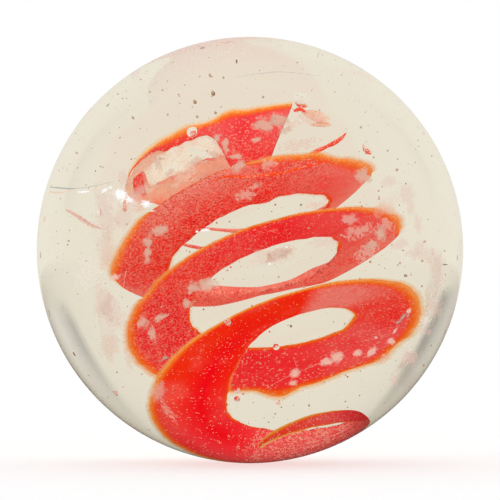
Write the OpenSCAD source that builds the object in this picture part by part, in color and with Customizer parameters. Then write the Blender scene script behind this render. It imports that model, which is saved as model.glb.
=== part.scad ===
// A clear glass playing ball with a corkscrew ribbon of red glass sealed inside it.
// The origin is the ball's centre. The coil's top end is towards +Z, and -Y is the front.

/* [Ball] */
// Diameter of the ball
ball_d = 16; // [15:0.5:35]

/* [Ribbon] */
// Distance from the coil's axis to the middle of the ribbon
coil_reach = 2.9; // [2.2:0.1:3.2]
// Height of the coil along its own axis
coil_height = 8.8; // [7.6:0.2:9.2]
// Height of the coil's top end above the ball's middle
coil_top = 2.6; // [1.8:0.1:3]
// Distance of the coil's axis to the right of the ball's middle
coil_shift = 0.25; // [0:0.05:0.5]
// Lean of the coil's axis to the left, in degrees
coil_lean = 12.5; // [0:0.5:20]
// Tip of the coil's axis away from the front, in degrees
coil_tip = 16; // [0:0.5:20]
// Width of the ribbon where it is widest
ribbon_width = 2.4; // [0.8:0.1:2.6]
// Thickness of the ribbon in its middle
ribbon_thickness = 0.2; // [0.1:0.05:0.4]

/* [Bubbles] */
// Diameter of the largest air bubble
bubble_d = 0.5; // [0.2:0.05:0.6]

/* [Hidden] */

ball_r = ball_d / 2;

// One row for each quarter turn, going right, front, left and back around the coil:
// the distance from the axis as a share of coil_reach, the drop from the coil's top as a
// share of coil_height, the width as a share of ribbon_width, and the tilt in degrees,
// with the outer edge up when it is positive.
WINDING = [
    [1.02, 0.00, 0.45, -110],
    [0.98, 0.01, 0.76, -118],
    [1.00, 0.04, 0.16, -70],
    [0.78, 0.17, 0.16, 20],
    [0.86, 0.16, 0.52, 22],
    [0.96, 0.16, 0.71, 34],
    [1.04, 0.26, 0.61, 20],
    [1.02, 0.30, 0.59, 20],
    [0.95, 0.30, 0.69, 11],
    [1.03, 0.35, 0.57, 17],
    [1.02, 0.44, 0.70, 0],
    [1.04, 0.50, 0.66, -7],
    [1.02, 0.54, 0.77, 3],
    [1.04, 0.62, 0.87, 0],
    [1.02, 0.75, 1.00, 0],
    [1.06, 0.77, 0.50, -30],
    [0.70, 1.01, 0.44, -70],
    [0.50, 1.07, 0.32, -90],
    [0.48, 1.08, 0.10, -90]
];
// The ribbon starts with a cut end and runs out to a thin tail. Its start and its length
// are counted in quarter turns.
start_quarter_turns = 0.7;
quarter_turn_count = 17.1;
// The cut end runs aslant, by this many quarter turns each way from its middle, and the
// slant fades out over slant_fade_quarter_turns.
cut_slant_quarter_turns = 0.085;
slant_fade_quarter_turns = 0.5;
rings_per_quarter_turn = 7;
section_side_count = 10;
ring_count = round(quarter_turn_count * rings_per_quarter_turn);

// The largest air bubbles: the centre as shares of the ball's radius, and the diameter as
// a share of bubble_d.
BUBBLES = [
    [0.18, -0.12, 0.52, 1],
    [0.44, -0.25, 0.38, 0.9],
    [-0.22, -0.38, 0.45, 0.7],
    [0.15, 0.00, 0.46, 0.5],
    [-0.09, -0.62, -0.29, 0.45],
    [0.10, -0.44, -0.37, 0.4],
    [-0.05, -0.38, -0.54, 0.4],
    [-0.05, -0.38, -0.58, 0.4],
    [-0.47, 0.00, -0.50, 0.35]
];

// A smooth curve through the rows of a table, at place t along it.
function row(table, i) =
    i < 0 ? 2 * table[0] - table[1]
    : i >= len(table) ? 2 * table[len(table) - 1] - table[len(table) - 2]
    : table[i];
function smooth(a, b, c, d, f) =
    (2 * b + (c - a) * f + (2 * a - 5 * b + 4 * c - d) * f ^ 2 + (3 * b - a - 3 * c + d) * f ^ 3) / 2;
function along(table, t) =
    let (i = min(floor(t), len(table) - 2))
    smooth(row(table, i - 1), row(table, i), row(table, i + 1), row(table, i + 2), t - i);

// One ring of points round the ribbon, t quarter turns along the coil. The section is a
// flat oval.
function ribbon_ring(t) =
    let (
        w = along(WINDING, t),
        reach = w[0] * coil_reach,
        height = coil_top - w[1] * coil_height,
        width = w[2] * ribbon_width,
        thickness = min(ribbon_thickness, width / 2),
        slant = cut_slant_quarter_turns * max(0, 1 - (t - start_quarter_turns) / slant_fade_quarter_turns)
    )
    [for (k = [0 : section_side_count - 1])
        let (
            a = 360 * k / section_side_count,
            across = cos(a) * width / 2,
            up = sin(a) * thickness / 2,
            r = reach + across * cos(w[3]) - up * sin(w[3]),
            turn = 90 * (t + slant * cos(a))
        )
        [r * cos(turn), -r * sin(turn), height + across * sin(w[3]) + up * cos(w[3])]];

module ribbon_solid() {
    points = [
        for (i = [0 : ring_count])
            each ribbon_ring(start_quarter_turns + i * quarter_turn_count / ring_count)
    ];
    sides = [
        for (i = [0 : ring_count - 1], k = [0 : section_side_count - 1])
            let (
                a = i * section_side_count + k,
                b = i * section_side_count + (k + 1) % section_side_count
            )
            each [[a, a + section_side_count, b], [b, a + section_side_count, b + section_side_count]]
    ];
    last_ring = ring_count * section_side_count;
    start_cap = [for (k = [1 : section_side_count - 2]) [0, k, k + 1]];
    end_cap = [for (k = [1 : section_side_count - 2]) [last_ring, last_ring + k + 1, last_ring + k]];
    translate([coil_shift, 0, 0])
        rotate([-coil_tip, -coil_lean, 0])
            polyhedron(points = points, faces = concat(start_cap, end_cap, sides));
}

module bubbles() {
    for (b = BUBBLES)
        translate([b[0], b[1], b[2]] * ball_r)
            sphere(d = b[3] * bubble_d, $fn = 16);
}

module clear_glass() {
    color([0.93, 0.91, 0.86, 0.35])
        difference() {
            sphere(d = ball_d, $fn = 80);
            ribbon_solid();
            bubbles();
        }
}

module red_ribbon() {
    color([0.85, 0.12, 0.10])
        ribbon_solid();
}

clear_glass();
red_ribbon();
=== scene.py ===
import math
import random

import bmesh
import bpy
from mathutils import Matrix, Vector, kdtree, noise


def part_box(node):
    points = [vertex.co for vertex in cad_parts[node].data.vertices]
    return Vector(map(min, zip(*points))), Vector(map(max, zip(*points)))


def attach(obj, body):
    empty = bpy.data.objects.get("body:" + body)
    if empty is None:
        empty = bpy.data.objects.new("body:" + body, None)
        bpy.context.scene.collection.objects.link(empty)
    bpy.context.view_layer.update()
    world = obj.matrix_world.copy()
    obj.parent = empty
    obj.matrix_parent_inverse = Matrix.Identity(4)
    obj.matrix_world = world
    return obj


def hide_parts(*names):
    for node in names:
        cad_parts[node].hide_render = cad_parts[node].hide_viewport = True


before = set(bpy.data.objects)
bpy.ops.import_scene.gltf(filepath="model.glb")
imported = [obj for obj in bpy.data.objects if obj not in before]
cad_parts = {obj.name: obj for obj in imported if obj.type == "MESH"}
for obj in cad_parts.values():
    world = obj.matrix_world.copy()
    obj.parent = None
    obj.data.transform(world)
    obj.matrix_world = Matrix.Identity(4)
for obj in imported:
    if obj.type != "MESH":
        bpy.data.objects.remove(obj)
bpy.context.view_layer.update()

mm = 0.001


def linear(hexColour):
    # sRGB hex to the linear colour that a shader takes.
    value = hexColour.lstrip("#")
    parts = [int(value[i:i + 2], 16) / 255 for i in (0, 2, 4)]
    return tuple(c / 12.92 if c <= 0.04045 else ((c + 0.055) / 1.055) ** 2.4 for c in parts) + (1.0,)


def addNode(tree, kind, settings=None, links=None):
    # settings sets the node's own properties and sockets, links feeds its sockets from
    # other sockets, or from a node's first one.
    node = tree.nodes.new("ShaderNode" + kind)
    for key, value in (settings or {}).items():
        if isinstance(key, str) and hasattr(node, key) and key not in node.inputs:
            setattr(node, key, value)
        else:
            node.inputs[key].default_value = value
    for key, source in (links or {}).items():
        socket = source.outputs[0] if isinstance(source, bpy.types.Node) else source
        tree.links.new(socket, node.inputs[key])
    return node


def newMaterial(name):
    material = bpy.data.materials.new(name)
    material.use_nodes = True
    material.node_tree.nodes.clear()
    return material


def addObject(name, data):
    added = bpy.data.objects.new(name, data)
    bpy.context.collection.objects.link(added)
    return added


def meshPiece(name, vertices, faces, material, smooth=True):
    mesh = bpy.data.meshes.new(name)
    mesh.from_pydata(vertices, [], faces)
    mesh.update()
    if smooth:
        mesh.shade_smooth()
    mesh.materials.append(material)
    return addObject(name, mesh)


def paintedPiece(name, parts, material):
    # One piece from several parts, each with its vertices, its faces and what is painted on it.
    vertices, faces, paint = [], [], {}
    for moreVertices, moreFaces, morePaint in parts:
        faces += [[index + len(vertices) for index in face] for face in moreFaces]
        vertices += moreVertices
        for key, values in morePaint.items():
            paint.setdefault(key, []).extend(values)
    piece = meshPiece(name, vertices, faces, material)
    for key, values in paint.items():
        if key == "tone":
            flat = [part for value in values for part in value]
            piece.data.attributes.new(key, "FLOAT_COLOR", "POINT").data.foreach_set("color", flat)
        else:
            piece.data.attributes.new(key, "FLOAT", "POINT").data.foreach_set("value", values)
    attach(piece, "root")
    return piece


def glassPiece(name, grid, material):
    mesh = bpy.data.meshes.new(name)
    grid.to_mesh(mesh)
    grid.free()
    mesh.shade_smooth()
    mesh.materials.append(material)
    piece = addObject(name, mesh)
    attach(piece, "root")
    return piece


def tubeFaces(rings, sides):
    # The faces of a closed tube of rings, with a cap at each end.
    faces = []
    for i in range(rings):
        for k in range(sides):
            a, b = i * sides + k, i * sides + (k + 1) % sides
            faces.append((b, a, a + sides, b + sides))
    faces.append(list(range(sides)))
    faces.append([rings * sides + k for k in range(sides - 1, -1, -1)])
    return faces


def stepAlong(table, t):
    # Straight lines between the rows of a table that starts each row with its place.
    if t <= table[0][0]:
        return list(table[0][1:])
    for (t0, *row0), (t1, *row1) in zip(table, table[1:]):
        if t <= t1:
            share = (t - t0) / (t1 - t0)
            return [a + (b - a) * share for a, b in zip(row0, row1)]
    return list(table[-1][1:])


def curveAlong(table, t):
    # A smooth curve through the table's rows, at place t counted in rows.
    last = len(table) - 1
    index = min(int(math.floor(t)), last - 1)
    share = t - index

    def row(i):
        if i < 0:
            return [2 * p - q for p, q in zip(table[0], table[1])]
        if i > last:
            return [2 * p - q for p, q in zip(table[last], table[last - 1])]
        return table[i]

    return [
        (2 * b + (c - a) * share + (2 * a - 5 * b + 4 * c - d) * share ** 2
         + (3 * b - a - 3 * c + d) * share ** 3) / 2
        for a, b, c, d in zip(row(index - 1), row(index), row(index + 1), row(index + 2))
    ]


lowCorner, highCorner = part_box("clear_glass")
ballRadius = (highCorner[2] - lowCorner[2]) / 2
floorHeight = lowCorner[2]
print("frame loaded, ball radius", round(ballRadius / mm, 3), "mm")

# The camera stands level with the ball on the -Y side, as far away as a long lens needs.
cameraSettings = {
    "distance": 20 * ballRadius,
    "frameShare": 0.853,  # how much of the frame's width the ball takes up
    "sensorWidth": 36,  # in mm, as the lens is
    "nearest": 0.01,
}
camera = addObject("camera", bpy.data.cameras.new("camera"))
camera.location = (0, -cameraSettings["distance"], 0)
camera.rotation_euler = (math.pi / 2, 0, 0)
outlineTangent = math.tan(math.asin(ballRadius / cameraSettings["distance"]))
camera.data.sensor_width = cameraSettings["sensorWidth"]
camera.data.lens = cameraSettings["sensorWidth"] / 2 * cameraSettings["frameShare"] / outlineTangent
camera.data.clip_start = cameraSettings["nearest"]
bpy.context.scene.camera = camera


# World and floor
studioSettings = {
    "tentWhite": "#FFFFFF",
    "tentCream": "#F3F1E8",  # what its cloth looks like in and through the glass
    "cardGlow": 0.6,  # how far the backdrop's white lifts the shadow on the card
    "cardSide": 6.0,
    "frontGain": 2.15,  # the light on the ribbon is this much stronger from in front
    "frontFade": {"From Min": -0.1, "From Max": -0.5},  # where that sets in and is full, along Y
    # What the skin mirrors, from in front to behind along Y. It mirrors less of the card
    # close by.
    "glare": {"From Min": -0.6, "From Max": 0.8, "To Min": 0.06, "To Max": 0.95},
    "cardFade": {"From Min": 20 * mm, "From Max": 200 * mm, "To Min": 0.1, "To Max": 1.0},
    "panelLean": 0.5,  # the panels' near edges lean in towards the top
    "panelTop": (0.4, 0.8),  # they pale from the first height to the second
    "bounces": 32,  # light winds on inside a ball, so its paths are let run long
}
# The tent's two grey side panels. All heights and widths are shares of the direction:
# where the near edge and the foot fade in, and where the dark grey goes over to the pale.
# above is how much of a panel is left over its top.
sidePanels = [
    {"side": -1.0, "edge": (0.865, 0.915), "foot": (0.15, 0.21), "paling": (0.94, 1.08),
     "dark": "#ABABAA", "pale": "#FFFFFF", "above": 0.15},
    {"side": 1.0, "edge": (0.825, 0.885), "foot": (0.19, 0.30), "paling": (0.89, 1.02),
     "dark": "#C4C4C2", "pale": "#FFFFFF", "above": 0.1},
]


def buildWorld(settings):
    # The backdrop is plain white. Only what shines in or through the glass sees the panels.
    world = bpy.data.worlds.new("soft tent")
    world.use_nodes = True
    tree = world.node_tree
    tree.nodes.clear()
    axes = addNode(tree, "SeparateXYZ", links={0: addNode(tree, "TexCoord").outputs["Generated"]})
    ways = addNode(tree, "LightPath")
    inGlass = addNode(tree, "Math", {"operation": "MAXIMUM"},
                      {0: ways.outputs["Is Transmission Ray"], 1: ways.outputs["Is Glossy Ray"]})
    colour = addNode(tree, "Mix", {"data_type": "RGBA", "A": linear(settings["tentWhite"]),
                                   "B": linear(settings["tentCream"])}, {"Factor": inGlass}).outputs["Result"]
    topMin, topMax = settings["panelTop"]
    for panel in sidePanels:
        out = addNode(tree, "Math", {"operation": "MULTIPLY", 1: panel["side"]}, {0: axes.outputs["X"]})
        amount = addNode(tree, "Math", {"operation": "MULTIPLY_ADD", 1: settings["panelLean"]},
                         {0: axes.outputs["Z"], 2: out})
        fades = (("edge", amount), ("foot", axes.outputs["Z"]), ("paling", amount))
        edge, foot, paling = [
            addNode(tree, "MapRange", {"From Min": panel[key][0], "From Max": panel[key][1]}, {"Value": way})
            for key, way in fades
        ]
        grey = addNode(tree, "Mix", {"data_type": "RGBA", "A": linear(panel["dark"]),
                                     "B": linear(panel["pale"])}, {"Factor": paling})
        top = addNode(tree, "MapRange", {"From Min": topMin, "From Max": topMax, "To Min": 1.0,
                                         "To Max": panel["above"]}, {"Value": axes.outputs["Z"]})
        shown = edge
        for factor in (foot, top, inGlass):
            shown = addNode(tree, "Math", {"operation": "MULTIPLY"}, {0: shown, 1: factor})
        colour = addNode(tree, "Mix", {"data_type": "RGBA"},
                         {"Factor": shown, "A": colour, "B": grey.outputs["Result"]}).outputs["Result"]
    front = addNode(tree, "MapRange", settings["frontFade"], {"Value": axes.outputs["Y"]})
    matt = addNode(tree, "Math", {"operation": "GREATER_THAN", 1: 0.5}, {0: ways.outputs["Diffuse Depth"]})
    matt = addNode(tree, "Math", {"operation": "MULTIPLY"}, {0: matt, 1: ways.outputs["Is Transmission Ray"]})
    lit = addNode(tree, "Math", {"operation": "MULTIPLY"}, {0: front, 1: matt})
    gain = addNode(tree, "MapRange", {"To Min": 1.0, "To Max": settings["frontGain"]}, {"Value": lit})
    glare = addNode(tree, "MapRange", settings["glare"], {"Value": axes.outputs["Y"]})
    mirrored = addNode(tree, "Math", {"operation": "SUBTRACT"},
                       {0: ways.outputs["Is Glossy Ray"], 1: ways.outputs["Is Transmission Ray"]})
    strength = addNode(tree, "Mix", {"data_type": "FLOAT"},
                       {"Factor": mirrored, "A": gain, "B": glare}).outputs["Result"]
    background = addNode(tree, "Background", links={"Color": colour, "Strength": strength})
    addNode(tree, "OutputWorld", links={"Surface": background})
    bpy.context.scene.world = world


def buildFloor(settings):
    # A white card that keeps the ball's shadow. The glass shows the backdrop's white in it,
    # and its skin mirrors as little of the card as of the tent.
    material = newMaterial("matt white card")
    tree = material.node_tree
    ways = addNode(tree, "LightPath")
    mirrored = addNode(tree, "Math", {"operation": "SUBTRACT", "use_clamp": True},
                       {0: ways.outputs["Is Glossy Ray"], 1: ways.outputs["Is Transmission Ray"]})
    inGlass = addNode(tree, "Math", {"operation": "MAXIMUM"},
                      {0: ways.outputs["Is Transmission Ray"], 1: ways.outputs["Is Glossy Ray"]})
    share = addNode(tree, "Math", {"operation": "MULTIPLY_ADD", 1: settings["cardGlow"]},
                    {0: ways.outputs["Is Camera Ray"], 2: inGlass})
    place = addNode(tree, "TexCoord").outputs["Object"]
    direction = addNode(tree, "VectorMath", {"operation": "NORMALIZE"}, {0: place})
    axes = addNode(tree, "SeparateXYZ", links={0: direction})
    away = addNode(tree, "VectorMath", {"operation": "LENGTH"}, {0: place}).outputs["Value"]
    glare = addNode(tree, "MapRange", settings["glare"], {"Value": axes.outputs["Y"]})
    fade = addNode(tree, "MapRange", settings["cardFade"], {"Value": away})
    glare = addNode(tree, "Math", {"operation": "MULTIPLY"}, {0: glare, 1: fade})
    strength = addNode(tree, "Mix", {"data_type": "FLOAT", "A": 1.0}, {"Factor": mirrored, "B": glare})
    colour = addNode(tree, "Mix", {"data_type": "RGBA", "A": linear(settings["tentWhite"]),
                                   "B": linear(settings["tentCream"])}, {"Factor": inGlass})
    card = addNode(tree, "BsdfDiffuse", {"Color": linear(settings["tentWhite"]), "Roughness": 0.0})
    glow = addNode(tree, "Emission", links={"Color": colour.outputs["Result"],
                                            "Strength": strength.outputs["Result"]})
    surface = addNode(tree, "MixShader", links={0: share, 1: card, 2: glow})
    addNode(tree, "OutputMaterial", links={"Surface": surface})
    half = settings["cardSide"] / 2
    corners = [(x, y, floorHeight) for x, y in ((-half, -half), (half, -half), (half, half), (-half, half))]
    meshPiece("floor", corners, [(0, 1, 2, 3)], material, smooth=False)


buildWorld(studioSettings)
buildFloor(studioSettings)
bpy.context.scene.view_settings.view_transform = "Standard"
cycles = bpy.context.scene.cycles
for kind in ("max", "diffuse", "glossy", "transmission", "transparent_max"):
    setattr(cycles, kind + "_bounces", studioSettings["bounces"])
cycles.blur_glossy = 0.0  # a blurred skin would swallow the ribbon's light
print("camera, light and floor ready")

# Ribbon
ribbonSettings = {
    "coilReach": 2.9 * mm,
    "coilHeight": 8.8 * mm,
    "coilTop": 2.6 * mm,
    "coilShift": 0.25 * mm,
    "coilLean": 12.5,
    "coilTip": 16,
    "widest": 2.4 * mm,
    "thickness": 0.2 * mm,
    "start": 0.7,  # in quarter turns
    "end": 17.8,
    "redReturn": 2.68,  # where the red comes in again at the back of the first turn
    "ringsPerQuarter": 48,
    "leastRings": 8,
    "sectionSides": 36,
    "returnTaper": 0.5,  # quarter turns over which the red widens out from its point there
    "taperShape": (0.02, 0.6),  # the share of it cut off at its point, and how blunt it is
    "cutSlant": 0.085,  # quarter turns that the cut end runs aslant, each way
    "slantFade": 0.5,
    "edgeWander": 0.05 * mm,
    "innerWander": 3.0,  # how many times more the red's own edge wanders in the veil
    "wanderLength": 0.8 * mm,
    "fineWander": (3, 0.5),  # a second wander: how many times as short, and how strong
    "amberEdge": 0.44 * mm,  # the amber rim, where it is widest
    "innerAmber": 0.3,  # the inner edge's rim, as a share of it
    "amberOnset": 4.0,  # the rim's share times this is how full its colour is
    "darkEdge": 0.05 * mm,
    "darkOnset": 2.5,  # and this is how much of the dark edge it takes away
    "fringeWidth": 0.26 * mm,  # the amber glow beyond the rim, where it is widest
    "fringeLeast": 0.3,  # its least width, as a share of that
    "fringeOnset": 2.0,
    "fringeOverlap": 0.15,  # how far it starts inside the ribbon, as a share of its width
    "fringeSteps": 5,
    "fringeSpan": (3.9, 15.6),
    # How deep the ruby core is along the inner half of the lowest bend.
    "core": [(12.90, 0.0), (13.30, 0.8), (13.60, 1.0), (14.50, 1.0), (14.80, 0.0)],
    "coreAcross": (-0.35, 0.75),  # its middle and its half width
    # How pale the outer half is on the front of the second turn.
    "flush": [(4.80, 0.0), (5.00, 0.75), (5.45, 0.75), (5.72, 0.0)],
    "flushAcross": (0.3, 0.7),  # its strength in the middle, and what the outer edge adds
    # Painted light on the tail: how strongly it glows along the ribbon, in place of the light the path loses
    # at the skin.
    "paintedTailGlow": [(16.0, 0.0), (16.6, 0.75), (17.8, 0.9)],
}
# One row for each quarter turn: reach, drop, width and tilt, as the part's source has them.
winding = [
    (1.02, 0.00, 0.45, -110),
    (0.98, 0.01, 0.76, -118),
    (1.00, 0.04, 0.16, -70),
    (0.78, 0.17, 0.16, 20),
    (0.86, 0.16, 0.52, 22),
    (0.96, 0.16, 0.71, 34),
    (1.04, 0.26, 0.61, 20),
    (1.02, 0.30, 0.59, 20),
    (0.95, 0.30, 0.69, 11),
    (1.03, 0.35, 0.57, 17),
    (1.02, 0.44, 0.70, 0),
    (1.04, 0.50, 0.66, -7),
    (1.02, 0.54, 0.77, 3),
    (1.04, 0.62, 0.87, 0),
    (1.02, 0.75, 1.00, 0),
    (1.06, 0.77, 0.50, -30),
    (0.70, 1.01, 0.44, -70),
    (0.50, 1.07, 0.32, -90),
    (0.48, 1.08, 0.10, -90),
]

# The reds that one pull of the rod runs through, from thin and pale to thick and deep.
tones = {
    "mist": "#FFCAC4",
    "blush": "#FFA8A4",
    "coral": "#FF9290",
    "rose": "#FF7C82",
    "scarlet": "#FF6056",
    "flame": "#FF4420",
    "crimson": "#FF5260",
    "ruby": "#FF1028",
}
# How they lie along the ribbon: the quarter turn, the tone, how thick the fine gas specks
# stand, how much thicker towards the outer edge, and how wide the amber rim is, below
# nought where it is the inner edge's.
reds = [
    (0.70, "rose", 0.25, 0.6, -0.40),
    (0.95, "crimson", 0.35, 0.9, -0.50),
    (1.12, "rose", 0.60, 0.5, -0.55),
    (1.30, "scarlet", 0.40, 0.0, -0.60),
    (2.30, "scarlet", 0.30, 0.0, -0.55),
    (2.68, "mist", 0.40, 0.0, 0.00),
    (3.50, "mist", 0.45, 0.0, 0.00),
    (3.85, "mist", 0.35, 0.0, 0.80),
    (4.20, "blush", 0.35, 0.3, 0.90),
    (4.60, "coral", 0.70, 0.0, 0.65),
    (4.82, "scarlet", 0.80, 0.0, 0.55),
    (5.00, "scarlet", 0.90, 0.2, 0.12),
    (5.50, "scarlet", 1.00, 0.2, 0.12),
    (5.70, "scarlet", 1.00, 0.2, 0.55),
    (6.00, "scarlet", 1.00, 0.3, 0.80),
    (6.25, "rose", 1.00, 0.0, 0.30),
    (6.45, "blush", 0.90, 0.0, 0.00),
    (7.30, "blush", 0.75, 0.0, 0.00),
    (7.60, "blush", 0.70, 0.0, 0.00),
    (7.90, "coral", 0.65, 0.5, 0.95),
    (8.15, "rose", 0.40, 0.5, 0.75),
    (8.50, "rose", 0.15, 0.0, 0.38),
    (8.80, "crimson", 0.25, 0.0, 0.22),
    (9.10, "crimson", 0.50, 0.0, 0.26),
    (9.50, "scarlet", 0.85, 0.0, 0.42),
    (9.90, "crimson", 1.00, 0.0, 0.75),
    (10.30, "crimson", 0.90, 0.0, 0.65),
    (10.60, "crimson", 0.35, 0.0, 0.60),
    (11.00, "crimson", 0.20, 0.0, 0.60),
    (11.30, "rose", 0.22, 0.0, 0.70),
    (11.60, "rose", 0.30, 0.0, 0.90),
    (11.80, "scarlet", 0.30, 0.4, 1.00),
    (12.10, "scarlet", 0.35, 0.4, 1.00),
    (12.35, "blush", 0.35, 0.0, 0.85),
    (12.68, "blush", 0.35, 0.0, 0.60),
    (12.80, "flame", 0.05, 0.0, 0.35),
    (13.15, "flame", 0.05, 0.0, 0.30),
    (13.45, "flame", 0.10, 0.0, 0.45),
    (13.70, "flame", 0.06, 0.6, 0.70),
    (14.05, "scarlet", 0.10, 0.6, 0.75),
    (14.40, "crimson", 0.12, 0.0, 0.70),
    (14.65, "crimson", 0.10, 0.0, 0.40),
    (14.85, "rose", 0.80, 0.0, 0.25),
    (15.30, "rose", 0.90, 0.0, 0.10),
    (15.60, "rose", 0.80, 0.0, 0.30),
    (16.10, "crimson", 0.25, 0.0, -0.40),
    (16.60, "scarlet", 0.15, 0.0, -0.60),
    (17.30, "flame", 0.15, 0.0, -0.90),
    (17.80, "flame", 0.10, 0.0, -1.00),
]
reds = [(t, *linear(tones[tone])[:3], *rest) for t, tone, *rest in reds]
ruby, mist = linear(tones["ruby"])[:3], linear(tones["mist"])[:3]

# How far across the ribbon the red reaches, from -1 to 1, where it runs out near the top.
# The rest of the ribbon there is a pale veil.
redReach = [
    (0.60, 1.00),
    (1.03, 1.00),
    (1.06, 0.75),
    (1.09, 0.25),
    (1.12, -0.20),
    (1.16, -0.42),
    (1.38, -0.38),
    (1.44, -0.48),
    (1.50, -0.74),
    (1.90, -0.80),
    (2.02, -0.92),
    (2.12, -0.98),
]
# The same for the stretch where the red comes in again.
redReturnReach = [(3.15, 1.00), (3.35, 0.50), (3.60, 0.50), (3.75, 0.70), (3.88, 1.00)]
# Where the ribbon is drawn thicker or folded over: the quarter turn and the share.
thickening = [
    (6.30, 1.0),
    (6.55, 2.4),
    (6.75, 2.2),
    (6.95, 0.9),
    (7.10, 1.0),
    (7.25, 1.9),
    (7.50, 1.0),
]
# Notches and cusps: the quarter turn, the edge, how far out in mm, and the half length in
# quarter turns.
edgeDents = [
    (10.95, 1, 0.24, 0.09),
    (11.20, 1, -0.12, 0.14),
    (11.45, 1, -0.10, 0.10),
    (9.72, 1, -0.10, 0.10),
    (5.62, 1, 0.08, 0.14),
    (4.56, 1, 0.10, 0.09),
    (4.38, 1, -0.08, 0.10),
    (4.05, 1, 0.12, 0.30),
    (8.18, 1, 0.06, 0.10),
    (4.85, -1, 0.10, 0.12),
    (8.60, -1, 0.07, 0.10),
    (1.02, -1, 0.10, 0.08),
    (1.15, -1, -0.08, 0.10),
]


# The red glass's colours, and the sizes that its patterns are drawn at.
redGlass = {
    "deep": "#FF0814",
    "thin": "#FF8C80",
    "grain": "#D01418",
    "grainShare": (0.75, 0.12),  # by how thick the specks stand, and everywhere
    "rim": ((0.0, "#FF4828"), (0.4, "#FF7424"), (0.75, "#FFA83C"), (1.0, "#FFD888")),
    "line": "#A8140C",
    "speck": "#FFD8C8",
    "cloudSize": 1.1 * mm,
    "mottleSize": 0.06 * mm,
    "patchSize": 0.35 * mm,
    # Three sizes of speck: the grid they stand on, their radius in it, how full the grid
    # is, and how strong they are.
    "specks": ((0.046 * mm, 0.47, 1.5, 1.0), (0.075 * mm, 0.36, 0.3, 0.75), (0.42 * mm, 0.10, 0.4, 0.6)),
    # how bright the tail's painted light is
    "paintedTailLight": 0.8,
}


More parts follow.
